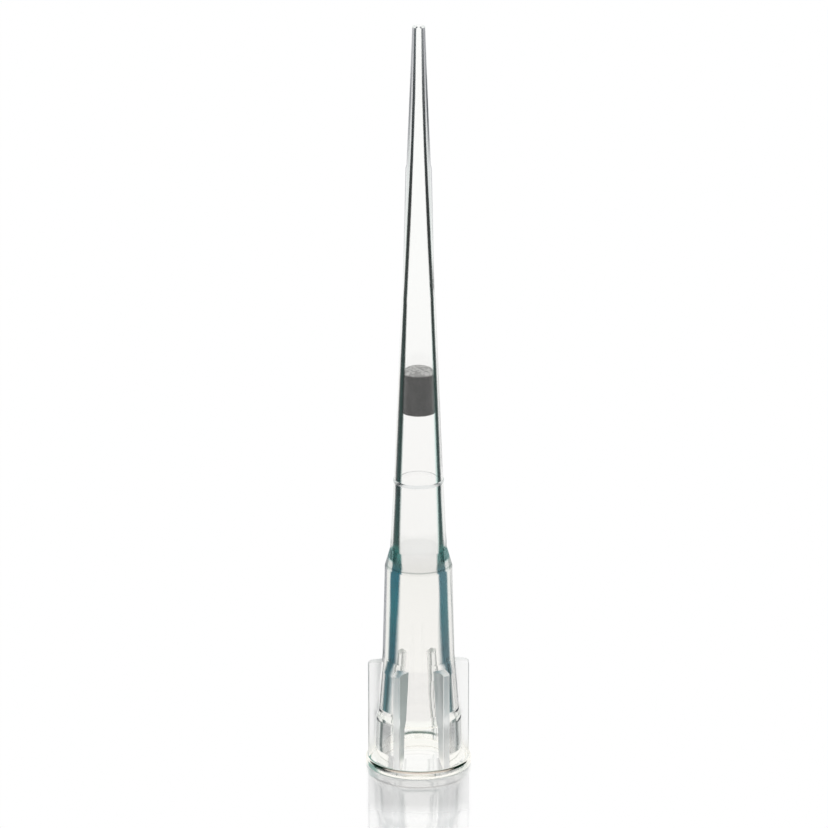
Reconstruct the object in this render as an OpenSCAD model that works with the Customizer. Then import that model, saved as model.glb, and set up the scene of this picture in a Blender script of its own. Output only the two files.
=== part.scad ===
// Filter pipette tip: a clear moulded tip with a porous plug held in its bore.
// It stands on its open rim. The origin is the centre of the rim's face,
// and +Z runs up the bore to the fine point.

/* [Lengths along the axis] */
// Thickness of the rim flange
flange_h = 0.62; // [0.4:0.02:1.0]
// Height of the collar's conical foot above the flange
foot_h = 0.75; // [0.3:0.05:1.2]
// Height of the mouth of the socket, from the rim to the foot of its first step
mouth_h = 3.6; // [2.9:0.1:4.2]
// Height from the foot of the first step to the foot of the second
seat_h = 3.3; // [2.6:0.1:4.0]
// Height of the flared part of the collar, above the mouth
flare_h = 4.6; // [4.2:0.1:5.4]
// Height of the straight part of the collar, up to the shoulder
collar_h = 6.65; // [4:0.05:9]
// Height of the cone that joins the collar to the neck
shoulder_h = 1.35; // [0.8:0.05:2.5]
// Height of the neck, from the shoulder to the ring
neck_h = 5.0; // [2:0.1:8]
// Height of the barrel, from the ring to the lower volume step
barrel_h = 13.4; // [10:0.1:18]
// Height of the stem, from the lower volume step to the upper one
stem_h = 9.3; // [6:0.1:14]
// Height of the point, from the upper volume step to the orifice
point_h = 10.1; // [7:0.1:14]

/* [Outside diameters] */
// Rim flange
flange_d = 7.5; // [7.2:0.05:8.2]
// Conical foot of the collar where it stands on the flange
foot_d = 7.0; // [6.5:0.05:7.1]
// Collar at the top of its conical foot
waist_d = 6.2; // [6.1:0.05:6.4]
// Collar at the foot of the first step
skirt_d = 6.06; // [5.9:0.02:6.1]
// Collar at the top of the first step
ledge_d = 5.72; // [5.5:0.02:5.84]
// Collar at the top of the flare
collar_d = 5.1; // [4.9:0.05:5.3]
// Collar at the lower edge of the shoulder
shoulder_d = 4.76; // [4.5:0.02:4.9]
// Neck at the upper edge of the shoulder
neck_d = 4.0; // [3.8:0.02:4.3]
// Barrel at the ring
barrel_d = 3.48; // [3.3:0.02:3.7]
// Barrel at the lower volume step
barrel_top_d = 2.38; // [2.2:0.02:2.6]
// Stem at the upper volume step
stem_top_d = 1.82; // [1.6:0.02:2.0]
// Point at the orifice
point_d = 0.9; // [0.8:0.01:1.1]
// Depth of each volume step, on the radius
step_depth = 0.07; // [0.03:0.01:0.12]
// Height of the short cone that forms each volume step
step_h = 0.25; // [0.1:0.05:0.6]

/* [Bore diameters] */
// Parallel land at the rim
mouth_bore_d = 5.2; // [5.0:0.02:5.4]
// Mouth at the foot of the first step
mouth_top_bore_d = 5.04; // [4.8:0.02:5.2]
// Sealing seat at its lower end
seat_bore_d = 4.5; // [4.3:0.02:4.7]
// Sealing seat at the foot of the second step
seat_top_bore_d = 4.2; // [4.0:0.02:4.3]
// Collar bore above the second step
collar_bore_d = 3.84; // [3.6:0.02:3.98]
// Bore at the lower edge of the shoulder
shoulder_bore_d = 3.16; // [3.0:0.02:3.5]
// Bore at the ring
barrel_bore_d = 2.8; // [2.6:0.02:2.95]
// Bore at the lower volume step
barrel_top_bore_d = 1.8; // [1.6:0.02:1.9]
// Bore at the upper volume step
stem_top_bore_d = 1.0; // [0.8:0.02:1.15]
// Bore halfway up the point
point_bore_d = 0.62; // [0.5:0.01:0.75]
// Orifice
orifice_d = 0.44; // [0.3:0.01:0.5]

/* [Mouth] */
// Lead-in chamfer at the rim
lead_in = 0.15; // [0.05:0.01:0.25]
// Length of the parallel land above the lead-in
land_h = 1.4; // [0.8:0.1:2.0]
// Height of the first step, a cone inside and outside between the mouth and the seat
ledge_h = 0.6; // [0.3:0.05:1.0]
// Height of the second step, a cone in the bore between the seat and the collar
seat_step_h = 1.0; // [0.4:0.1:1.4]

/* [Fins] */
// Number of fins round the collar
fin_count = 6; // [3:1:10]
// Diameter over the fins
fin_d = 7.16; // [6.8:0.02:7.4]
// Height of a fin above the flange
fin_h = 7.1; // [4:0.1:7.9]
// Thickness of a fin at its outer edge
fin_t = 0.56; // [0.4:0.02:0.7]
// Thickness of a fin at its root, inside the collar wall
fin_root_t = 1.1; // [0.8:0.05:1.4]
// Radius on the long outer edges of a fin
fin_edge = 0.12; // [0.05:0.01:0.18]
// Radius on the top outer corner of a fin
fin_corner = 0.3; // [0.1:0.05:0.4]

/* [Ring and edges] */
// Radius of the rounded bead that forms the ring
ring_r = 0.24; // [0.16:0.01:0.3]
// How far the ring stands out of the barrel
ring_proud = 0.04; // [0.03:0.01:0.08]
// Radius on the two outer edges of the flange
flange_edge = 0.14; // [0.05:0.01:0.19]
// Radius on the outer edge of the point
point_edge = 0.06; // [0.03:0.01:0.1]

/* [Filter plug] */
// Height of the plug's lower face above the ring
plug_rise = 5.0; // [2:0.1:8]
// Length of the plug
plug_l = 3.2; // [2:0.1:5]
// Gap between the plug and the wall of the bore
plug_gap = 0.02; // [0.01:0.01:0.05]
// Radius on the plug's edges
plug_edge = 0.22; // [0.05:0.01:0.35]

/* [Hidden] */
$fn = 96;

// The bore is cut this far past each end.
over = 1;
// Steps in a rounded corner of a turned outline.
corner_steps = 6;

// Heights of the stations along the axis.
seat_z = mouth_h;
seat_low_z = seat_z + ledge_h;
seat_top_z = seat_z + seat_h;
flare_z = mouth_h + flare_h;
shoulder_z = flare_z + collar_h;
neck_z = shoulder_z + shoulder_h;
ring_z = neck_z + neck_h;
low_step_z = ring_z + barrel_h;
high_step_z = low_step_z + stem_h;
point_z = high_step_z + point_h;
total_h = point_z;

// A fin starts inside the wall, where the bore then trims it.
fin_root = seat_top_bore_d / 2;
fin_top_z = flange_h + fin_h;

plug_z = ring_z + plug_rise;
plug_top_z = plug_z + plug_l;

// Points on an arc in the plane of a turned outline.
function arc(r, z, radius, from, to) =
    [for (i = [0:corner_steps])
        let (a = from + (to - from) * i / corner_steps)
        [r + radius * cos(a), z + radius * sin(a)]];

// Radius of the barrel's bore at a height between the ring and the lower volume step.
function barrel_bore_r(z) =
    (barrel_bore_d + (barrel_top_bore_d - barrel_bore_d) * (z - ring_z) / barrel_h) / 2;

// Outside of the tip, from the rim up to the point.
outside = concat(
    [[0, 0]],
    arc(flange_d / 2 - flange_edge, flange_edge, flange_edge, -90, 0),
    arc(flange_d / 2 - flange_edge, flange_h - flange_edge, flange_edge, 0, 90),
    [
        [foot_d / 2, flange_h],
        [waist_d / 2, flange_h + foot_h],
        [skirt_d / 2, seat_z],
        [ledge_d / 2, seat_low_z],
        [collar_d / 2, flare_z],
        [shoulder_d / 2, shoulder_z],
        [neck_d / 2, neck_z],
        [barrel_d / 2, ring_z],
        [barrel_top_d / 2, low_step_z],
        [barrel_top_d / 2 - step_depth, low_step_z + step_h],
        [stem_top_d / 2, high_step_z],
        [stem_top_d / 2 - step_depth, high_step_z + step_h],
    ],
    arc(point_d / 2 - point_edge, point_z - point_edge, point_edge, 0, 90),
    [[0, point_z]]
);

// Bore, from the rim's lead-in up to the orifice.
inside = [
    [0, -over],
    [mouth_bore_d / 2 + lead_in + over, -over],
    [mouth_bore_d / 2, lead_in],
    [mouth_bore_d / 2, lead_in + land_h],
    [mouth_top_bore_d / 2, seat_z],
    [seat_bore_d / 2, seat_low_z],
    [seat_top_bore_d / 2, seat_top_z],
    [collar_bore_d / 2, seat_top_z + seat_step_h],
    [shoulder_bore_d / 2, shoulder_z],
    [barrel_bore_d / 2, ring_z],
    [barrel_top_bore_d / 2, low_step_z],
    [stem_top_bore_d / 2, high_step_z],
    [point_bore_d / 2, high_step_z + point_h / 2],
    [orifice_d / 2, point_z],
    [orifice_d / 2, point_z + over],
    [0, point_z + over],
];

// Fin seen from above: it thickens towards its root, and its two outer edges are rounded.
module fin_plan() {
    lean = atan((fin_root_t - fin_t) / 2 / (fin_d / 2 - fin_root));
    side_y = fin_t / 2 - fin_edge;
    end_x = fin_d / 2 - fin_edge;
    polygon(concat(
        [[fin_root, -fin_root_t / 2]],
        arc(end_x, -side_y, fin_edge, lean - 90, 0),
        arc(end_x, side_y, fin_edge, 0, 90 - lean),
        [[fin_root, fin_root_t / 2]]
    ));
}

// Fin seen from the side: its top outer corner is rounded.
module fin_side() {
    end_x = fin_d / 2 - fin_corner;
    translate([fin_root, 0]) square([fin_d / 2 - fin_root, fin_top_z - fin_corner]);
    translate([fin_root, 0]) square([end_x - fin_root, fin_top_z]);
    translate([end_x, fin_top_z - fin_corner]) circle(fin_corner);
}

module fin() {
    intersection() {
        linear_extrude(fin_top_z) fin_plan();
        rotate([90, 0, 0]) linear_extrude(fin_root_t + over, center = true) fin_side();
    }
}

module ring() {
    rotate_extrude()
        translate([barrel_d / 2 + ring_proud - ring_r, ring_z])
            circle(ring_r);
}

// One moulding: flange, finned collar, shoulder, ring and stepped taper, with its bore.
module tip_body() {
    color([0.86, 0.93, 0.93, 0.5])
        difference() {
            union() {
                rotate_extrude() polygon(outside);
                ring();
                for (i = [0:fin_count - 1])
                    rotate([0, 0, i * 360 / fin_count]) fin();
            }
            rotate_extrude() polygon(inside);
        }
}

// Porous plug: it follows the taper of the bore that it is pressed into.
module filter_plug() {
    low_z = plug_z + plug_edge;
    top_z = plug_top_z - plug_edge;
    low_r = barrel_bore_r(low_z) - plug_gap;
    top_r = barrel_bore_r(top_z) - plug_gap;
    color([0.42, 0.42, 0.42])
        rotate_extrude()
            polygon(concat(
                [[0, plug_z]],
                arc(low_r - plug_edge, low_z, plug_edge, -90, 0),
                arc(top_r - plug_edge, top_z, plug_edge, 0, 90),
                [[0, plug_top_z]]
            ));
}

tip_body();
filter_plug();
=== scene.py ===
"""Looks for a clear filter pipette tip: its finishes, its porous plug and the stage that it stands on."""

import math

import bmesh
import bpy
from bpy.props import FloatProperty, FloatVectorProperty, PointerProperty
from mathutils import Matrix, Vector


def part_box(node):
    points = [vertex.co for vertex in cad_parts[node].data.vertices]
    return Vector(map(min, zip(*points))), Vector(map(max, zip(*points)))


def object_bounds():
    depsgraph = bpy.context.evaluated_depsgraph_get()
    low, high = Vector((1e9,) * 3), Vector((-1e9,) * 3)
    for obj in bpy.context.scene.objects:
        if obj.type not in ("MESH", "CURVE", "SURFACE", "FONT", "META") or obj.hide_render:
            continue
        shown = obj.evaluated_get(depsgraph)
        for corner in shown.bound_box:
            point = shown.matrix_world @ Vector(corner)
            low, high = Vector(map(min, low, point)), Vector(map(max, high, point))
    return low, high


bl_info = {
    "name": "Filter pipette tip",
    "version": (1, 0, 0),
    "blender": (4, 5, 0),
    "location": "View3D > Sidebar > Pipette tip",
    "description": "Finishes a clear filter pipette tip and sets up its stage",
    "category": "Object",
}

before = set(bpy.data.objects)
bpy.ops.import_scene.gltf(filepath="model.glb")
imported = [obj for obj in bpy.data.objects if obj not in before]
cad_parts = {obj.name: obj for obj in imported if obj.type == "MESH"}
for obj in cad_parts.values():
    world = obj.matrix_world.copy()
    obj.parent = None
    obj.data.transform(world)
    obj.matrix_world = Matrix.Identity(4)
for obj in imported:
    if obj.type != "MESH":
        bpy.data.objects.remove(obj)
lo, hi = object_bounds()
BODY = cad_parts["tip_body"]
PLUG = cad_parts["filter_plug"]
PLUG_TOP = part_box("filter_plug")[1].z
TIP_HEIGHT = hi.z - lo.z
RIM_RADIUS = (hi.x - lo.x) / 2
MM = 0.001


def colour(name, description, default):
    """A colour setting."""
    return FloatVectorProperty(
        name=name, description=description, subtype="COLOR", size=3, min=0, max=1, default=default
    )


def length(name, description, default):
    """A length setting, in metres."""
    return FloatProperty(name=name, description=description, unit="LENGTH", min=0, default=default)


def share(name, description, default):
    """A setting from 0 to 1."""
    return FloatProperty(
        name=name, description=description, subtype="FACTOR", min=0, max=1, default=default
    )


def angle(name, description, degrees):
    """An angle setting."""
    return FloatProperty(
        name=name, description=description, subtype="ANGLE", default=math.radians(degrees)
    )


def bending(name, description, default):
    """A refractive index setting."""
    return FloatProperty(name=name, description=description, min=1, max=2, default=default)


class PlasticSettings(bpy.types.PropertyGroup):
    """Clear moulded plastic, and the painted shade where its walls turn the light away."""

    index: bending("Index", "Refractive index", 1.49)
    clear: colour("Clear tint", "Colour of light that crosses the plastic", (0.993, 0.994, 0.99))
    # Painted shade: dark lines that refraction shows under the shoulder, in the fins' corners and low in the
    # mouth.
    painted_edge_shade: colour("Crease", "Shade of edges in the shoulder, the fins and the mouth", (0.16, 0.22, 0.2))
    painted_edge_depth: share("Crease depth", "How strongly the shoulder's edge shows", 0.4)
    # Painted shade: soft grey beside the wall line in the mouth.
    painted_haze: colour("Haze", "Shade of the haze in the wall of the mouth", (0.35, 0.36, 0.37))
    # Painted shade: the skin's grey outline where it is seen edge on.
    outline: colour("Outline", "Shade of the skin where it is seen edge on", (0.36, 0.37, 0.4))
    outline_depth: share("Outline depth", "How strongly that shade shows", 0.6)
    # Painted shade: the point's dark outline and the knots at the first step.
    point_line: colour("Point outline", "Shade of the outline of the point", (0.07, 0.08, 0.09))
    # Painted shade: grey in the thick wall of the point.
    wall: colour("Wall shade", "Shade of the thick wall of the point", (0.2, 0.21, 0.24))
    # Painted shade and painted light: the bore's wall line, and how it pales and shifts on the +X side.
    line_pale: colour("Pale line", "What the wall line on the +X side pales to", (0.8, 0.8, 0.8))
    line_soft: share("Line softness", "Width of a wall line's soft outer edge", 0.03)
    painted_side_light: share("Side light", "How far the light from +X moves the wall lines", 0.02)
    # Painted shade: grey of the fins' sides, darker on the +X side.
    flank: colour("Fin shade", "Shade of light that enters by a fin's side", (0.48, 0.52, 0.51))
    flank_far: colour("Fin shade far", "The same for the fins on the +X side", (0.47, 0.5, 0.5))
    frost: share("Fin frost", "Roughness of the fins' sides", 0.35)
    # Painted shade: set colour of the light that leaks out of a fin.
    trapped: colour("Trapped light", "Colour of light that bounces on in a fin", (0.3, 0.34, 0.34))
    fin_tip: colour("Fin tip", "Shade of light in a fin's outer edge and top", (0.95, 0.96, 0.955))
    # Painted shade: grey of the fins' outer edges.
    painted_fin_shade: colour("Fin tip grey", "The same where an outer edge is darkest", (0.65, 0.68, 0.68))
    edge_frost: share("Fin edge frost", "Roughness of the fins' outer edges", 0.5)
    cap_index: bending("Cap index", "How much the fins' tops and the end of the point bend light", 1.1)
    cap_frost: share("Fin cap frost", "Roughness of the fins' tops", 0.7)
    # Painted shade: grey of light that enters the bead from outside.
    bead: colour("Bead tint", "Colour of light that crosses the bead", (0.84, 0.85, 0.85))
    bead_frost: share("Bead frost", "Roughness of the bead", 0.3)
    rim: colour("Rim tint", "Colour of light that crosses the rim", (1.0, 0.99, 0.96))
    # Painted shade: brown line along the rim's upper edge.
    painted_rim_brown: colour("Rim brown", "Thin line along the rim's upper edge", (0.5, 0.38, 0.28))
    painted_brown_depth: share("Brown depth", "How strongly that line shows", 0.55)
    # Painted shade: the rim's dark green sides and dark arcs.
    painted_rim_green: colour("Rim green", "Dark green at the two sides of the rim", (0.12, 0.3, 0.27))
    painted_rim_arcs: colour("Rim line", "Dark arcs in the rim", (0.005, 0.02, 0.012))


class PlugSettings(bpy.types.PropertyGroup):
    """Sintered porous plug."""

    grain: colour("Grain", "Colour of the plug's darker grains", (0.048, 0.048, 0.0467))
    pale_grain: colour("Pale grain", "Colour of the plug's paler grains", (0.0725, 0.0725, 0.0708))
    # Partly the paler cut faces, partly painted light that makes the ends paler, the top most of all.
    cut_face_and_painted_light: colour("Cut face", "Colour of the plug's cut ends", (0.84, 0.84, 0.83))
    # Painted shade down in the pores.
    pore_shade: colour("Pores", "Colour down in the plug's pores", (0.045, 0.045, 0.045))
    pore_shade_depth: share("Pore depth", "How strongly the pores show", 0.4)
    grain_size: length("Grain size", "Width of a grain of the plug", 0.22 * MM)
    relief: share("Relief", "How strongly the grains stand out", 0.3)
    roughness: share("Roughness", "Roughness of the plug", 0.95)
    gloss: share("Gloss", "How much the plug shines", 0.1)


class StageSettings(bpy.types.PropertyGroup):
    """Floor, light and camera."""

    floor_colour: colour("Floor", "Colour of the floor", (0.97, 0.97, 0.97))
    floor_lift: share("Floor lift", "How much the floor's own white softens the shadow", 0.37)
    floor_mirror: share("Floor mirror", "How much the floor reflects", 0.35)
    floor_roughness: share("Floor roughness", "Roughness of the floor", 0.07)
    back_light: share("Back light", "Share of the floor's light that the lamp behind the tip gives", 0.45)
    lamp_rise: angle("Lamp height", "Height of the lamp as an angle", 32)
    lamp_size: angle("Lamp size", "Width of the lamp as an angle", 20)
    azimuth: angle("Azimuth", "Turn of the camera round the tip, with the lamp opposite", -4)
    elevation: angle("Elevation", "Camera's height as an angle", 18.12)
    distance: length("Distance", "From the camera to the tip", 0.4203)
    lens: FloatProperty(name="Lens", description="Focal length", unit="CAMERA", default=261.4)
    aim_height: length("Aim height", "Height of the point that the camera looks at", 26.05 * MM)
    aim_aside: length("Aim aside", "How far left of the tip's axis the camera looks", 0.32 * MM)


def new_material(name):
    """An empty node material, its tree and its output."""
    material = bpy.data.materials.new(name)
    material.use_nodes = True
    tree = material.node_tree
    tree.nodes.clear()
    return material, tree, tree.nodes.new("ShaderNodeOutputMaterial")


def plug_in(tree, socket, value):
    """Links a socket to another, or sets it to a number, a vector or a colour."""
    if isinstance(value, bpy.types.NodeSocket):
        tree.links.new(value, socket)
    elif socket.type == "RGBA":
        socket.default_value = (*value, 1)
    else:
        socket.default_value = value


def calc(tree, operation, *values):
    """A Math node's output."""
    node = tree.nodes.new("ShaderNodeMath")
    node.operation = operation
    for socket, value in zip(node.inputs, values):
        plug_in(tree, socket, value)
    return node.outputs[0]


def times(tree, product, *values):
    """The product of two or more values."""
    for value in values:
        product = calc(tree, "MULTIPLY", product, value)
    return product


def opposite(tree, value):
    """1 where the value is 0, and 0 where it is 1."""
    return calc(tree, "SUBTRACT", 1.0, value)


def vector_calc(tree, operation, *vectors):
    """A Vector Math node's outputs."""
    node = tree.nodes.new("ShaderNodeVectorMath")
    node.operation = operation
    for socket, vector in zip(node.inputs, vectors):
        plug_in(tree, socket, vector)
    return node.outputs


def split(tree, vector):
    """A vector's three numbers, as outputs X, Y and Z."""
    node = tree.nodes.new("ShaderNodeSeparateXYZ")
    tree.links.new(vector, node.inputs[0])
    return node.outputs


def mix(tree, factor, first, second):
    """A colour mix's output."""
    node = tree.nodes.new("ShaderNodeMix")
    node.data_type = "RGBA"
    values = {"Factor_Float": factor, "A_Color": first, "B_Color": second}
    for socket in node.inputs:
        if socket.identifier in values:
            plug_in(tree, socket, values[socket.identifier])
    return next(socket for socket in node.outputs if socket.identifier == "Result_Color")


def mix_shaders(tree, factor, first, second):
    """A Mix Shader's output."""
    node = tree.nodes.new("ShaderNodeMixShader")
    for socket, value in zip(node.inputs, (factor, first, second)):
        plug_in(tree, socket, value)
    return node.outputs[0]


def blend_in(tree, value, low, high):
    """0 below low to 1 above high, smoothly."""
    node = tree.nodes.new("ShaderNodeMapRange")
    node.interpolation_type = "SMOOTHSTEP"
    plug_in(tree, node.inputs["Value"], value)
    plug_in(tree, node.inputs["From Min"], low)
    plug_in(tree, node.inputs["From Max"], high)
    return node.outputs[0]


def level(height):
    """A height in millimetres as a share of the tip's height."""
    return height * MM / TIP_HEIGHT


def ramp(tree, height, stops):
    """A ramp up the tip; each stop is a height in millimetres with a number or a colour."""
    node = tree.nodes.new("ShaderNodeValToRGB")
    elements = node.color_ramp.elements
    elements.remove(elements[1])
    for i, (stop, value) in enumerate(stops):
        element = elements.new(level(stop)) if i else elements[0]
        element.position = level(stop)
        element.color = (*value, 1) if isinstance(value, tuple) else (value, value, value, 1)
    tree.links.new(height, node.inputs[0])
    return node.outputs[0]


def belt(tree, height, low, high, soft=0.02):
    """1 between two heights in millimetres, with soft edges of the given height."""
    above = blend_in(tree, height, level(low - soft), level(low + soft))
    below = opposite(tree, blend_in(tree, height, level(high - soft), level(high + soft)))
    return times(tree, above, below)


def geometry(tree, name):
    """One of the Geometry node's outputs."""
    return tree.nodes.new("ShaderNodeNewGeometry").outputs[name]


def light_path(tree, name):
    """One of the Light Path node's outputs."""
    return tree.nodes.new("ShaderNodeLightPath").outputs[name]


def inside(tree):
    """1 where the ray meets the surface from within the plastic."""
    return geometry(tree, "Backfacing")


def outside(tree):
    """1 where the ray meets the surface from the air."""
    return opposite(tree, inside(tree))


def facing(tree):
    """How far the surface turns from the ray: 0 face on, 1 edge on."""
    node = tree.nodes.new("ShaderNodeLayerWeight")
    node.inputs["Blend"].default_value = 0.5
    return node.outputs["Facing"]


# Node groups that several finishes share

PLACE = "place on the tip"
LINE = "line by tilt"


def build_place_group():
    """Group: a point's height from 0 to 1, its side from -1 at -X to 1 at +X, and its slope from 0 to 1."""
    group = bpy.data.node_groups.new(PLACE, "ShaderNodeTree")
    for name in ("Height", "Aside", "Slope"):
        group.interface.new_socket(name, in_out="OUTPUT", socket_type="NodeSocketFloat")
    out = group.nodes.new("NodeGroupOutput").inputs
    spot = split(group, geometry(group, "Position"))
    height = calc(group, "DIVIDE", calc(group, "SUBTRACT", spot["Z"], lo.z), TIP_HEIGHT)
    squares = calc(group, "ADD", calc(group, "POWER", spot["X"], 2), calc(group, "POWER", spot["Y"], 2))
    aside = calc(group, "DIVIDE", spot["X"], calc(group, "SQRT", squares))
    slope = calc(group, "ABSOLUTE", split(group, geometry(group, "Normal"))["Z"])
    for name, value in (("Height", height), ("Aside", aside), ("Slope", slope)):
        group.links.new(value, out[name])


def build_line_group():
    """Group: a mask that is 1 where the surface's tilt lies between two bounds."""
    group = bpy.data.node_groups.new(LINE, "ShaderNodeTree")
    for name in ("Facing", "Within", "Start", "End", "Fade in", "Fade out"):
        group.interface.new_socket(name, in_out="INPUT", socket_type="NodeSocketFloat")
    group.interface.new_socket("Mask", in_out="OUTPUT", socket_type="NodeSocketFloat")
    put = group.nodes.new("NodeGroupInput").outputs
    out = group.nodes.new("NodeGroupOutput").inputs
    masks = []
    for bound, fade in (("Start", "Fade in"), ("End", "Fade out")):
        low = calc(group, "SUBTRACT", put[bound], put[fade])
        high = calc(group, "ADD", put[bound], put[fade])
        masks.append(blend_in(group, put["Facing"], low, high))
    started, ended = masks
    group.links.new(times(group, started, opposite(group, ended), put["Within"]), out["Mask"])


def use_group(tree, name):
    """Places a group in a tree."""
    node = tree.nodes.new("ShaderNodeGroup")
    node.node_tree = bpy.data.node_groups[name]
    return node


def place(tree):
    """The height, the side and the slope of the point that is shaded."""
    spot = use_group(tree, PLACE).outputs
    return spot["Height"], spot["Aside"], spot["Slope"]


def line_mask(tree, within, start, end, fade_in, fade_out):
    """1 where the surface's tilt lies between start and end, and within is 1."""
    node = use_group(tree, LINE)
    for socket, value in zip(node.inputs, (facing(tree), within, start, end, fade_in, fade_out)):
        plug_in(tree, socket, value)
    return node.outputs["Mask"]


def sided(tree, aside, middle, rise):
    """A strength that is middle in front and behind, middle + rise at +X and middle - rise at -X."""
    return calc(tree, "ADD", middle, times(tree, aside, rise))


# Finishes of the moulding. A ramp's heights are in millimetres above the rim's face: the first step lies
# between 3.6 and 4.2, the fins end at 7.7, the shoulder lies between 14.9 and 16.2 and the bead at 21.2,
# and the volume steps stand at 34.6 and 43.9. A tilt goes from 0, face on, to 1, edge on. The numbers of a
# line's tilt are its start, its end, and how softly it starts and ends. Those of a belt are its foot, its
# top, and how soft both are. Those of a sided strength are its value in the middle and its rise towards +X.

# Bounces inside the plastic after which light leaks out, and the colour that it then has, up the tip: a
# painted shade, dark teal in the shoulder.
MOST_BOUNCES = 2.5
TRAPPED = (
    (3.4, (0.86, 0.87, 0.86)),
    (3.6, (0.95, 0.96, 0.96)),
    (4.1, (0.95, 0.96, 0.96)),
    (4.3, (0.4, 0.45, 0.45)),
    (8, (0.4, 0.45, 0.45)),
    (9, (0.5, 0.55, 0.55)),
    (14.8, (0.5, 0.55, 0.55)),
    (14.9, (0.055, 0.15, 0.13)),
    (16, (0.08, 0.19, 0.17)),
    (16.4, (0.85, 0.88, 0.87)),
)


def finish_glass(tree, out, tint, trapped_tint, index, frost=0.0, normal=None):
    """Clear plastic with the given tint, frosted or not, that lets trapped light out after a few bounces in a
    set colour, a painted shade.
    """
    glass = tree.nodes.new("ShaderNodeBsdfGlass")
    glass.inputs["IOR"].default_value = index
    glass.inputs["Roughness"].default_value = frost
    plug_in(tree, glass.inputs["Color"], tint)
    if normal:
        tree.links.new(normal, glass.inputs["Normal"])
    leak = tree.nodes.new("ShaderNodeBsdfTransparent")
    plug_in(tree, leak.inputs["Color"], trapped_tint)
    tired = calc(tree, "GREATER_THAN", light_path(tree, "Glossy Depth"), MOST_BOUNCES)
    trapped = times(tree, tired, inside(tree))
    tree.links.new(mix_shaders(tree, trapped, glass.outputs[0], leak.outputs[0]), out.inputs["Surface"])


# Tint of light that crosses the skin, up the tip: the collar and the shoulder are a little darker, as painted
# shade.
TINT = (
    (3.5, (0.98, 0.98, 0.965)),
    (3.7, (0.976, 0.98, 0.945)),
    (4, (0.976, 0.98, 0.945)),
    (4.25, (0.89, 0.875, 0.86)),
    (7.6, (0.88, 0.865, 0.85)),
    (7.9, (0.94, 0.925, 0.9)),
    (14.8, (0.905, 0.895, 0.87)),
    (15, (0.78, 0.77, 0.745)),
    (16.1, (0.815, 0.805, 0.795)),
    (16.5, (0.87, 0.865, 0.855)),
    (17.4, (0.875, 0.87, 0.86)),
    (17.8, (0.937, 0.93, 0.922)),
    (22, (0.95, 0.942, 0.935)),
    (28, (0.965, 0.96, 0.955)),
    (36, (0.985, 0.985, 0.98)),
    (43, (0.993, 0.994, 0.99)),
)
# Heights between which the painted shade of the dark edge under the shoulder lies.
PAINTED_EDGE_BELT = (14.98, 15.08)
# Slopes between which the skin's shades fade out, since they belong to upright faces.
SHADED_SLOPE = (0.35, 0.6)

# Painted grey shade that fills the thick wall of the point: its tilt and its strength.
WALL_TILT = (0.18, 0.72, 0.06, 0.04)
WALL_SIDED = (1.05, 0.1)
WALL_GREY = ((36, 0.0), (43, 0.12), (47, 0.25), (49, 0.45), (51, 0.55), (53, 0.65))

# Painted shade beside the wall lines: the tilt where it starts and how softly, the tilt where it ends, its
# strength and its colour. On the shoulder it reaches the outline.
SHADE_START = 0.32
SHADE_SOFT = 0.06
SHADE_END = ((14.9, 0.53), (15.2, 0.9), (16.2, 0.9), (16.6, 0.53))
SHADE = (
    (7, 0.0), (9, 0.25), (14.9, 0.2), (15.4, 0.1), (15.6, 1.0), (16.4, 1.0), (16.8, 0.85),
    (38, 0.9), (41, 0.6), (45, 0.6), (49, 0.0),
)
SHADE_COLOUR = (
    (15.4, (0.55, 0.76, 0.72)),
    (15.6, (0.28, 0.46, 0.45)),
    (16.3, (0.28, 0.46, 0.45)),
    (16.5, (0.55, 0.76, 0.72)),
    (30, (0.55, 0.76, 0.72)),
    (37, (0.7, 0.78, 0.76)),
    (42, (0.7, 0.75, 0.74)),
    (45, (0.62, 0.67, 0.66)),
)

# The skin's painted grey outline, a painted shade where it is seen edge on: the tilts where it sets in, its
# strength, and how much weaker it is at +X.
OUTLINE_TILT = (0.6, 0.7)
OUTLINE = (
    (1.3, 0.0), (1.6, 0.5), (7.7, 0.6), (8.5, 0.9), (14.8, 0.9), (16.4, 0.0),
    (35, 0.0), (38, 0.3), (42, 0.9), (46, 1.0), (51, 0.4),
)
OUTLINE_SIDE = ((35, 0.35), (40, 0.05))

# The point's painted dark outline, a painted shade: its tilt and its strength.
POINT_TILT = (0.44, 0.72, 0.06, 0.04)
POINT_SIDED = (0.85, 0.15)
POINT_LINE = ((44, 0.0), (46.3, 0.7), (47.3, 0.9), (48.75, 1.0), (50.2, 0.8), (51.5, 0.35), (53, 0.2))

# Painted dark knots in the outline at the two edges of the first step, in the painted shade of the point's
# outline: the tilts where they set in, and their belts.
KNOT_TILT = (0.5, 0.65)
KNOT_BELTS = ((3.5, 3.66), (4.14, 4.3))

# Feet and tops of the two volume steps, which are too shallow to break the wall lines.
VOLUME_STEPS = ((34.5, 34.95), (43.8, 44.25))


def level_normal(tree, height):
    """The skin's normals, turned level on the volume steps."""
    normal = geometry(tree, "Normal")
    level_part = vector_calc(tree, "MULTIPLY", normal, (1, 1, 0))["Vector"]
    on_step = calc(tree, "MAXIMUM", *(belt(tree, height, *bounds) for bounds in VOLUME_STEPS))
    return mix(tree, on_step, normal, vector_calc(tree, "NORMALIZE", level_part)["Vector"])


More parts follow.
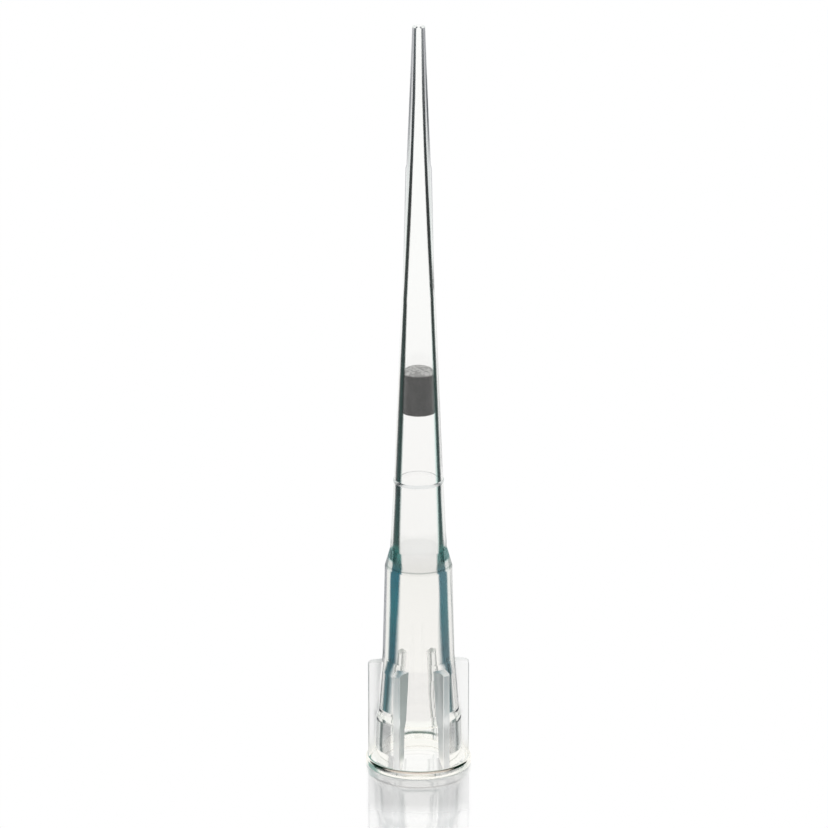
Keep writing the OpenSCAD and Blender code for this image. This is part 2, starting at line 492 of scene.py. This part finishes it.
def skin_material(s):
    """Outside of the moulding: clear, with painted shade that makes the collar warmer and darker and draws a
    grey outline.
    """
    material, tree, out = new_material("clear_skin")
    height, aside, slope = place(tree)
    entering = outside(tree)
    # Painted shade of the dark edge under the shoulder.
    painted_edge_shade = times(tree, belt(tree, height, *PAINTED_EDGE_BELT), s.painted_edge_depth)
    tint = mix(tree, painted_edge_shade, ramp(tree, height, TINT), s.painted_edge_shade)
    tint = mix(tree, entering, s.clear, tint)
    shaded = times(tree, entering, opposite(tree, blend_in(tree, slope, *SHADED_SLOPE)))

    # Painted shade in the point's thick wall.
    wall = times(tree, line_mask(tree, shaded, *WALL_TILT), sided(tree, aside, *WALL_SIDED))
    tint = mix(tree, times(tree, wall, ramp(tree, height, WALL_GREY)), tint, s.wall)

    # Painted shade beside the wall lines.
    beside = line_mask(tree, shaded, SHADE_START, ramp(tree, height, SHADE_END), SHADE_SOFT, SHADE_SOFT)
    beside = times(tree, beside, ramp(tree, height, SHADE))
    tint = mix(tree, beside, tint, ramp(tree, height, SHADE_COLOUR))

    # Painted shade of the skin's grey outline.
    edge_on = times(tree, blend_in(tree, facing(tree), *OUTLINE_TILT), shaded)
    depth = calc(tree, "SUBTRACT", s.outline_depth, times(tree, aside, ramp(tree, height, OUTLINE_SIDE)))
    tint = mix(tree, times(tree, edge_on, depth, ramp(tree, height, OUTLINE)), tint, s.outline)

    # Painted shade of the point's dark outline.
    point = times(tree, line_mask(tree, shaded, *POINT_TILT), sided(tree, aside, *POINT_SIDED))
    tint = mix(tree, times(tree, point, ramp(tree, height, POINT_LINE)), tint, s.point_line)

    # Painted shade: dark knots at the edges of the first step.
    knots = calc(tree, "MAXIMUM", *(belt(tree, height, *bounds) for bounds in KNOT_BELTS))
    knots = times(tree, knots, blend_in(tree, facing(tree), *KNOT_TILT), shaded)
    tint = mix(tree, knots, tint, s.point_line)
    finish_glass(tree, out, tint, ramp(tree, height, TRAPPED), s.index, normal=level_normal(tree, height))
    return material


# The painted dark line, a painted shade in the wall of the bore: the tilts where it starts and ends, how
# softly it starts, and its colour, up the tip.
LINE_START = (
    (0, 0.26), (3.6, 0.26), (4.2, 0.22), (6.9, 0.205), (8, 0.172), (10, 0.172), (12, 0.176), (13.6, 0.185),
    (14.3, 0.182), (15, 0.185), (15.8, 0.2), (17, 0.217), (24, 0.217), (35, 0.208), (41, 0.175), (50, 0.15),
)
LINE_END = (
    (0, 0.315), (3.6, 0.315), (4.2, 0.325), (6.9, 0.325), (8, 0.338), (12, 0.378), (14, 0.42),
    (15.2, 0.42), (16.7, 0.365), (20, 0.345), (24, 0.356), (30, 0.365), (34, 0.358), (38, 0.365),
    (41, 0.39), (46, 0.42), (49, 0.55),
)
LINE_FADE = (
    (0, 0.02), (3.6, 0.02), (4.2, 0.07), (6.5, 0.07), (8, 0.05), (10, 0.045), (13, 0.03), (15, 0.025),
    (16.5, 0.03), (50, 0.03),
)
LINE_COLOUR = (
    (0, (0.1, 0.14, 0.14)),
    (3.4, (0.07, 0.12, 0.12)),
    (4.2, (0.035, 0.175, 0.2)),
    (6.9, (0.02, 0.15, 0.19)),
    (8, (0.008, 0.1, 0.14)),
    (9, (0.006, 0.095, 0.135)),
    (12, (0.006, 0.15, 0.19)),
    (14.5, (0.006, 0.132, 0.188)),
    (15.2, (0.045, 0.155, 0.155)),
    (15.8, (0.07, 0.28, 0.265)),
    (16.2, (0.06, 0.22, 0.205)),
    (16.7, (0.02, 0.06, 0.055)),
    (20, (0.008, 0.032, 0.034)),
    (20.5, (0.0, 0.014, 0.018)),
    (20.9, (0.0, 0.014, 0.018)),
    (21.3, (0.006, 0.028, 0.03)),
    (25, (0.0, 0.018, 0.014)),
    (33, (0.0, 0.007, 0.004)),
    (41, (0.0, 0.006, 0.003)),
    (46, (0.01, 0.02, 0.02)),
    (50, (0.05, 0.06, 0.065)),
    (53, (0.12, 0.14, 0.15)),
)
# How much paler the painted line on the +X side is, up the tip, as painted light from +X.
FAR_PALE = (
    (0, 0.3), (3.5, 0.3), (3.7, 0.1), (9, 0.1), (12, 0.06), (15, 0.1), (16, 0.1), (17, 0.02), (20, 0.0),
    (46, 0.0), (49, 0.05), (51.5, 0.12), (52.5, 0.2), (53.6, 0.32),
)
# How far the painted light from +X moves the start and the end of the painted line, up the tip. This much is
# not at all.
NOT_MOVED = 0.5
START_SIDE = ((7, 0.55), (11, 0.6), (13, 1.0), (30, 1.0), (36, 0.6))
END_SIDE = (
    (0, 0.9), (3.6, 0.9), (4.2, 0.1), (6.5, 0.1), (8, 0.93), (12, 0.95), (15, 0.6), (17, 0.15), (28, 0.15),
    (40, 0.5),
)
# The line sets in between these heights above the foot, and the first step breaks it.
LINE_FOOT = (0.95, 1.25)
LINE_BREAK = (3.62, 4.18)
# Painted grey shade beside the line in the mouth: its tilt and its strength.
PAINTED_HAZE_TILT = (0.15, 0.26, 0.02, 0.015)
MOUTH_PAINTED_HAZE = ((0, 0.5), (2, 0.6), (2.7, 0.85), (3.4, 0.85), (3.6, 0.0))
# The painted dark arc, a painted shade low in the far wall of the mouth: the tilts where it fades out, and
# its belt.
ARC_TILT = (0.1, 0.35)
ARC_BELT = (1.22, 1.4, 0.05)


def line_bound(tree, s, height, aside, bound, side):
    """A bound of the painted wall line up the tip, moved by painted light from +X."""
    light = times(tree, aside, 2 * s.painted_side_light)
    move = calc(tree, "SUBTRACT", ramp(tree, height, side), NOT_MOVED)
    return calc(tree, "ADD", ramp(tree, height, bound), times(tree, light, move))


def bore_material(s):
    """Wall of the bore: a painted dark line, a painted shade, stands in it where it turns the light aside."""
    material, tree, out = new_material("clear_bore")
    height, aside, _ = place(tree)
    leaving = inside(tree)
    # Painted shade beside the wall line in the mouth.
    painted_haze = times(tree, line_mask(tree, leaving, *PAINTED_HAZE_TILT), ramp(tree, height, MOUTH_PAINTED_HAZE))
    tint = mix(tree, painted_haze, s.clear, s.painted_haze)

    # Painted shade: the dark wall line of the bore, moved by painted light from +X.
    start = line_bound(tree, s, height, aside, LINE_START, START_SIDE)
    end = line_bound(tree, s, height, aside, LINE_END, END_SIDE)
    line = line_mask(tree, leaving, start, end, ramp(tree, height, LINE_FADE), s.line_soft)
    above_foot = blend_in(tree, height, *map(level, LINE_FOOT))
    line = times(tree, line, above_foot, opposite(tree, belt(tree, height, *LINE_BREAK)))
    dark = ramp(tree, height, LINE_COLOUR)
    pale = mix(tree, ramp(tree, height, FAR_PALE), dark, s.line_pale)
    tint = mix(tree, line, tint, mix(tree, blend_in(tree, aside, 0, 1), dark, pale))

    # Painted shade: the dark arc low in the far wall of the mouth.
    far_wall = opposite(tree, calc(tree, "MAXIMUM", leaving, blend_in(tree, facing(tree), *ARC_TILT)))
    tint = mix(tree, times(tree, far_wall, belt(tree, height, *ARC_BELT)), tint, s.painted_edge_shade)
    finish_glass(tree, out, tint, ramp(tree, height, TRAPPED), s.index)
    return material


# Painted grey shade of a fin's sides: the tilts where it sets in, its strength on the -X side and on the +X
# side, up the tip, and the sides between which the one turns into the other.
FLANK_TILT = (0.1, 0.4)
FLANK_SHADE = ((1.1, 0.0), (1.6, 0.9), (2.3, 0.72), (3.1, 0.83), (4.2, 1.0))
FLANK_SHADE_FAR = (
    (1.1, 0.0), (1.6, 0.62), (2.3, 0.6), (3.1, 0.83), (4.2, 0.7), (5.7, 0.93), (6.8, 1.0),
)
FAR_SIDE = (0.0, 0.2)
# Sides between which a fin stands out aside, where the painted colour of the light trapped in it stays
# bright.
FIN_BESIDE = (0.8, 0.9)


def flank_material(s):
    """Flat sides of a fin: painted grey shade where light bounces along it, bright in the two fins that stand
    out aside.
    """
    material, tree, out = new_material("clear_fin")
    height, aside, _ = place(tree)
    far = blend_in(tree, aside, *FAR_SIDE)
    strength = mix(tree, far, ramp(tree, height, FLANK_SHADE), ramp(tree, height, FLANK_SHADE_FAR))
    # Painted grey shade of the fin's sides.
    grey = times(tree, blend_in(tree, facing(tree), *FLANK_TILT), outside(tree), strength)
    tint = mix(tree, grey, s.clear, mix(tree, far, s.flank, s.flank_far))
    beside = blend_in(tree, calc(tree, "ABSOLUTE", aside), *FIN_BESIDE)
    trapped = mix(tree, times(tree, opposite(tree, beside), strength), s.fin_tip, s.trapped)
    finish_glass(tree, out, tint, trapped, s.index, s.frost)
    return material


# Strength of the painted grey shade of the fins' outer edges, up the tip, and the side up to which fins have
# it.
FIN_SHADE = ((2.3, 0.0), (3.1, 0.2), (4.2, 0.02), (5, 0.3), (5.7, 0.6), (6.8, 0.77))
FIN_NEAR = 0.85
# Angle from one fin to the next, and how far from a fin's middle plane the painted shade of its dark corner
# starts.
FIN_STEP = math.radians(60)
FIN_CORNER = 0.18 * MM


def fin_corner(tree):
    """1 on the corner that the fins in front and behind turn to the middle."""
    spot = split(tree, geometry(tree, "Position"))
    across = times(tree, calc(tree, "ABSOLUTE", spot["X"]), math.sin(FIN_STEP))
    along = times(tree, calc(tree, "ABSOLUTE", spot["Y"]), math.cos(FIN_STEP))
    return calc(tree, "LESS_THAN", calc(tree, "SUBTRACT", across, along), -FIN_CORNER)


def fin_edge_material(s):
    """Outer edges of the fins: painted grey shade, and painted dark lines where their inner corners show
    through the moulding.
    """
    material, tree, out = new_material("clear_fin_edge")
    height, aside, _ = place(tree)
    near = calc(tree, "LESS_THAN", calc(tree, "ABSOLUTE", aside), FIN_NEAR)
    # Painted grey shade of the fins' outer edges.
    grey = times(tree, near, ramp(tree, height, FIN_SHADE), outside(tree))
    tint = mix(tree, grey, s.fin_tip, s.painted_fin_shade)
    # Painted shade: dark lines at the fins' inner corners.
    tint = mix(tree, times(tree, fin_corner(tree), inside(tree), near), tint, s.painted_edge_shade)
    finish_glass(tree, out, tint, s.clear, s.index, s.edge_frost)
    return material


def fin_cap_material(s):
    """Tops of the fins."""
    material, tree, out = new_material("clear_fin_cap")
    finish_glass(tree, out, s.fin_tip, s.clear, s.cap_index, s.cap_frost)
    return material


def bead_material(s):
    """The fine bead round the neck: it spreads the light a little, and a painted grey shade darkens it."""
    material, tree, out = new_material("clear_bead")
    # Painted grey shade on light that enters the bead.
    finish_glass(tree, out, mix(tree, outside(tree), s.clear, s.bead), s.clear, s.index, s.bead_frost)
    return material


# Tilts of the painted green shade at the two sides of the rim, and of the painted dark arcs beside it.
PAINTED_GREEN_TILT = (0.4, 0.72, 0.08, 0.08)
RIM_ARC_TILT = (0.2, 0.5, 0.04, 0.04)
# Strength of the painted green and of the lower half of the painted arcs, and the belt that this half keeps
# to.
RIM_SIDED = (0.5, -0.35)
RIM_ARC_BELT = (0.38, 0.6, 0.03)
# Sides between which the painted brown line of the rim's upper edge fades out.
PAINTED_BROWN_SIDE = (0.55, 0.85)


def rim_material(s):
    """Rim: bright, with painted green shade and the lower half of the painted dark arcs at its two sides."""
    material, tree, out = new_material("clear_rim")
    height, aside, _ = place(tree)
    entering, side = outside(tree), sided(tree, aside, *RIM_SIDED)
    # Painted shade: green at the rim's sides and the lower half of the dark arcs.
    tint = mix(tree, times(tree, line_mask(tree, entering, *PAINTED_GREEN_TILT), side), s.rim, s.painted_rim_green)
    arc = times(tree, line_mask(tree, entering, *RIM_ARC_TILT), belt(tree, height, *RIM_ARC_BELT), side)
    finish_glass(tree, out, mix(tree, arc, tint, s.painted_rim_arcs), s.rim, s.index)
    return material


def rim_edge_material(s):
    """Rounded upper edge of the rim: a thin painted brown line in front, and painted dark arcs on both sides
    of it.
    """
    material, tree, out = new_material("clear_rim_edge")
    _, aside, _ = place(tree)
    entering = outside(tree)
    front = opposite(tree, blend_in(tree, calc(tree, "ABSOLUTE", aside), *PAINTED_BROWN_SIDE))
    # Painted shade: the brown line and dark arcs of the rim's edge.
    tint = mix(tree, times(tree, front, entering, s.painted_brown_depth), s.rim, s.painted_rim_brown)
    tint = mix(tree, line_mask(tree, entering, *RIM_ARC_TILT), tint, s.painted_rim_arcs)
    finish_glass(tree, out, tint, s.rim, s.index)
    return material


def end_material(s):
    """End face of the point."""
    material, tree, out = new_material("clear_end")
    finish_glass(tree, out, s.clear, s.clear, s.cap_index)
    return material


FINISHES = (
    skin_material,
    bore_material,
    flank_material,
    fin_edge_material,
    fin_cap_material,
    bead_material,
    rim_material,
    rim_edge_material,
    end_material,
)

# Heights and radii that tell the moulding's surfaces apart.
RIM_TOP = 0.7 * MM
RIM_EDGE_RADIUS = 3.6 * MM
FIN_FOOT, FIN_TOP = 1.4 * MM, 9.0 * MM
FIN_EDGE_RADIUS = 3.3 * MM
BEAD_LOW, BEAD_HIGH = 20.9 * MM, 21.5 * MM
END_DEPTH = 0.1 * MM
# Shares of a face's normal that tell them apart too: to the axis, along the circle, and up.
BORE_INWARD, BORE_SIDEWAYS, BORE_UP = 0.05, 0.3, 0.95
FLANK_SIDEWAYS = 0.5
RIM_EDGE_UP, FIN_CAP_UP = 0.1, 0.5


def finish_of_face(centre, normal):
    """The finish of the surface that a face of the moulding lies on."""
    radius = math.hypot(centre.x, centre.y)
    inward = -(centre.x * normal.x + centre.y * normal.y) / radius
    sideways = abs(centre.x * normal.y - centre.y * normal.x) / radius
    if inward > BORE_INWARD and abs(normal.z) < BORE_UP and sideways < BORE_SIDEWAYS:
        return bore_material
    if centre.z < RIM_TOP:
        return rim_edge_material if normal.z > RIM_EDGE_UP and radius > RIM_EDGE_RADIUS else rim_material
    if sideways > FLANK_SIDEWAYS:
        return flank_material
    if FIN_FOOT < centre.z < FIN_TOP and normal.z > FIN_CAP_UP:
        return fin_cap_material
    if FIN_FOOT < centre.z < FIN_TOP and radius > FIN_EDGE_RADIUS:
        return fin_edge_material
    if centre.z > hi.z - END_DEPTH:
        return end_material
    if BEAD_LOW < centre.z < BEAD_HIGH:
        return bead_material
    return skin_material


class OBJECT_OT_tip_body(bpy.types.Operator):
    """Give the clear moulding its finishes"""

    bl_idname = "object.tip_body_finish"
    bl_label = "Finish the moulding"

    def execute(self, context):
        build_place_group()
        build_line_group()
        BODY.data.materials.clear()
        for make_finish in FINISHES:
            BODY.data.materials.append(make_finish(context.scene.tip_plastic))
        for face in BODY.data.polygons:
            face.material_index = FINISHES.index(finish_of_face(face.center, face.normal))
        return {"FINISHED"}


# Cloudy patches in the plug: how many go to a grain's width, how fine they are, and the bounds of the
# cloud between which the grains turn paler.
PATCH_RATE = 0.35
PATCH_DETAIL = 3
PATCH_BOUNDS = (0.35, 0.65)
# Pores: how deep they are against a grain's width, and how far from a grain's middle they set in, where
# painted shade darkens them.
PORE_DROP = 0.3
PORE_BOUNDS = (0.35, 0.75)
# Cut look of the plug's ends, partly paler cut faces and partly painted light: the slopes between which it
# sets in, and the depths under the plug's top.
CUT_AND_LIT_SLOPE = (0.5, 0.9)
CUT_AND_LIT_DEPTH = (0.35 * MM, 0.15 * MM)


def plug_material(s):
    """Porous plug: dark grey grains, with paler cut ends that are partly painted light, and painted shade in
    the pores.
    """
    material, tree, out = new_material("porous_plug")
    spot = tree.nodes.new("ShaderNodeTexCoord").outputs["Object"]
    grains = tree.nodes.new("ShaderNodeTexVoronoi")
    grains.inputs["Scale"].default_value = 1 / s.grain_size
    tree.links.new(spot, grains.inputs["Vector"])
    patches = tree.nodes.new("ShaderNodeTexNoise")
    patches.inputs["Scale"].default_value = PATCH_RATE / s.grain_size
    patches.inputs["Detail"].default_value = PATCH_DETAIL
    tree.links.new(spot, patches.inputs["Vector"])

    slope = calc(tree, "ABSOLUTE", split(tree, geometry(tree, "Normal"))["Z"])
    # Paler ends and brim under the top: partly cut faces, partly painted light.
    cut_and_lit_brim = blend_in(tree, split(tree, spot)["Z"], *(PLUG_TOP - depth for depth in CUT_AND_LIT_DEPTH))
    cut = calc(tree, "MAXIMUM", blend_in(tree, slope, *CUT_AND_LIT_SLOPE), cut_and_lit_brim)
    pores = blend_in(tree, grains.outputs["Distance"], *PORE_BOUNDS)
    shade = mix(tree, blend_in(tree, patches.outputs["Fac"], *PATCH_BOUNDS), s.grain, s.pale_grain)
    shade = mix(tree, cut, shade, s.cut_face_and_painted_light)
    # Painted shade in the pores.
    shade = mix(tree, times(tree, pores, s.pore_shade_depth), shade, s.pore_shade)

    bump = tree.nodes.new("ShaderNodeBump")
    bump.inputs["Strength"].default_value = s.relief
    bump.inputs["Distance"].default_value = PORE_DROP * s.grain_size
    bump.invert = True
    tree.links.new(grains.outputs["Distance"], bump.inputs["Height"])
    shader = tree.nodes.new("ShaderNodeBsdfPrincipled")
    shader.inputs["Roughness"].default_value = s.roughness
    shader.inputs["Specular IOR Level"].default_value = s.gloss
    tree.links.new(shade, shader.inputs["Base Color"])
    tree.links.new(bump.outputs[0], shader.inputs["Normal"])
    tree.links.new(shader.outputs[0], out.inputs["Surface"])
    return material


class OBJECT_OT_filter_plug(bpy.types.Operator):
    """Give the plug its porous finish"""

    bl_idname = "object.filter_plug_finish"
    bl_label = "Finish the plug"

    def execute(self, context):
        PLUG.data.materials.clear()
        PLUG.data.materials.append(plug_material(context.scene.tip_plug))
        return {"FINISHED"}


# The floor is a disc, this wide and with this many sides.
FLOOR_RADIUS = 2.0
FLOOR_SIDES = 96
# The floor takes the tip's shadow near the tip. It turns plain white between these distances from the
# axis, and between these on both sides of the lamp's direction, all in rim radii.
SHADOW_REACH = (1.6, 3.0)
SHADOW_WIDTH = (0.82, 1.0)
WHITE = (1, 1, 1, 1)
# A count of bounces is above this once a ray has bounced.
BOUNCED = 0.5


def floor_material(s):
    """Pale glossy floor: lit near the tip, plain white farther off and in what glass and gloss show."""
    material, tree, out = new_material("pale_floor")
    lit = tree.nodes.new("ShaderNodeBsdfDiffuse")
    lit.inputs["Color"].default_value = (*s.floor_colour, 1)
    white = tree.nodes.new("ShaderNodeEmission")
    gloss = tree.nodes.new("ShaderNodeBsdfGlossy")
    gloss.inputs["Color"].default_value = WHITE
    gloss.inputs["Roughness"].default_value = s.floor_roughness

    spot = tree.nodes.new("ShaderNodeTexCoord").outputs["Object"]
    reach = vector_calc(tree, "LENGTH", spot)["Value"]
    axes = split(tree, spot)
    across = calc(
        tree, "ADD", times(tree, axes["X"], math.cos(s.azimuth)), times(tree, axes["Y"], math.sin(s.azimuth))
    )
    far = calc(
        tree, "MAXIMUM",
        blend_in(tree, reach, *(RIM_RADIUS * bound for bound in SHADOW_REACH)),
        blend_in(tree, calc(tree, "ABSOLUTE", across), *(RIM_RADIUS * bound for bound in SHADOW_WIDTH)),
    )
    far = calc(tree, "MAXIMUM", far, s.floor_lift)
    shown = calc(tree, "MAXIMUM", light_path(tree, "Is Transmission Ray"), light_path(tree, "Is Glossy Ray"))
    ground = mix_shaders(tree, calc(tree, "MAXIMUM", shown, far), lit.outputs[0], white.outputs[0])
    surface = mix_shaders(tree, s.floor_mirror, ground, gloss.outputs[0])
    tree.links.new(surface, out.inputs["Surface"])
    return material


def add_floor(s):
    """The floor that the tip stands on."""
    mesh = bpy.data.meshes.new("floor")
    disc = bmesh.new()
    bmesh.ops.create_circle(disc, cap_ends=True, segments=FLOOR_SIDES, radius=FLOOR_RADIUS)
    disc.to_mesh(mesh)
    disc.free()
    mesh.materials.append(floor_material(s))
    floor = bpy.data.objects.new("floor", mesh)
    floor.location.z = lo.z
    bpy.context.scene.collection.objects.link(floor)


def add_world(s):
    """White surroundings, which light the floor less by the share that the lamp gives it."""
    world = bpy.data.worlds.new("studio")
    bpy.context.scene.world = world
    world.use_nodes = True
    tree = world.node_tree
    background = tree.nodes["Background"]
    background.inputs["Color"].default_value = WHITE
    scattered = calc(tree, "GREATER_THAN", light_path(tree, "Diffuse Depth"), BOUNCED)
    direct = calc(tree, "LESS_THAN", light_path(tree, "Transmission Depth"), BOUNCED)
    dimmed = times(tree, scattered, direct, s.back_light)
    tree.links.new(opposite(tree, dimmed), background.inputs["Strength"])


def add_lamp(s):
    """Wide lamp behind the tip, opposite the camera: it gives the shadow in front."""
    data = bpy.data.lights.new("back lamp", "SUN")
    data.energy = s.back_light * math.pi / math.sin(s.lamp_rise)
    data.angle = s.lamp_size
    lamp = bpy.data.objects.new("back lamp", data)
    lamp.rotation_euler = (math.pi / 2 - s.lamp_rise, 0, s.azimuth + math.pi)
    lamp.visible_glossy = False
    lamp.visible_transmission = False
    bpy.context.scene.collection.objects.link(lamp)


def add_camera(s):
    """Camera that looks at the middle of the tip from a little above."""
    data = bpy.data.cameras.new("camera")
    data.lens = s.lens
    data.sensor_width = 36
    data.clip_start = 0.01
    camera = bpy.data.objects.new("camera", data)
    bpy.context.scene.collection.objects.link(camera)
    bpy.context.scene.camera = camera
    right = Vector((math.cos(s.azimuth), math.sin(s.azimuth), 0))
    front = Vector((math.sin(s.azimuth), -math.cos(s.azimuth), 0))
    back = front * math.cos(s.elevation) + Vector((0, 0, math.sin(s.elevation)))
    aim = Vector((0, 0, s.aim_height)) - right * s.aim_aside
    camera.location = aim + back * s.distance
    camera.rotation_euler = (-back).to_track_quat("-Z", "Y").to_euler()


class SCENE_OT_tip_stage(bpy.types.Operator):
    """Build the floor, the light and the camera"""

    bl_idname = "scene.tip_stage"
    bl_label = "Build the stage"

    def execute(self, context):
        for add in (add_floor, add_world, add_lamp, add_camera):
            add(context.scene.tip_stage)
        context.scene.view_settings.view_transform = "Standard"
        return {"FINISHED"}


class VIEW3D_PT_pipette_tip(bpy.types.Panel):
    """Lists the tip's settings and its steps"""

    bl_label = "Pipette tip"
    bl_idname = "VIEW3D_PT_pipette_tip"
    bl_space_type = "VIEW_3D"
    bl_region_type = "UI"
    bl_category = "Pipette tip"

    def draw(self, context):
        for group, operator in STEPS.items():
            box = self.layout.box()
            settings = getattr(context.scene, group)
            for name in settings.__annotations__:
                box.prop(settings, name)
            box.operator(operator)


STEPS = {
    "tip_plastic": "object.tip_body_finish",
    "tip_plug": "object.filter_plug_finish",
    "tip_stage": "scene.tip_stage",
}
SETTINGS = {"tip_plastic": PlasticSettings, "tip_plug": PlugSettings, "tip_stage": StageSettings}
CLASSES = (
    *SETTINGS.values(),
    OBJECT_OT_tip_body,
    OBJECT_OT_filter_plug,
    SCENE_OT_tip_stage,
    VIEW3D_PT_pipette_tip,
)


def register():
    for cls in CLASSES:
        bpy.utils.register_class(cls)
    for name, cls in SETTINGS.items():
        setattr(bpy.types.Scene, name, PointerProperty(type=cls))


def unregister():
    for name in SETTINGS:
        delattr(bpy.types.Scene, name)
    for cls in reversed(CLASSES):
        bpy.utils.unregister_class(cls)


def main():
    """Builds the stage and gives the tip its finishes."""
    register()
    bpy.ops.scene.tip_stage()
    bpy.ops.object.tip_body_finish()
    bpy.ops.object.filter_plug_finish()


if __name__ == "__main__":
    main()
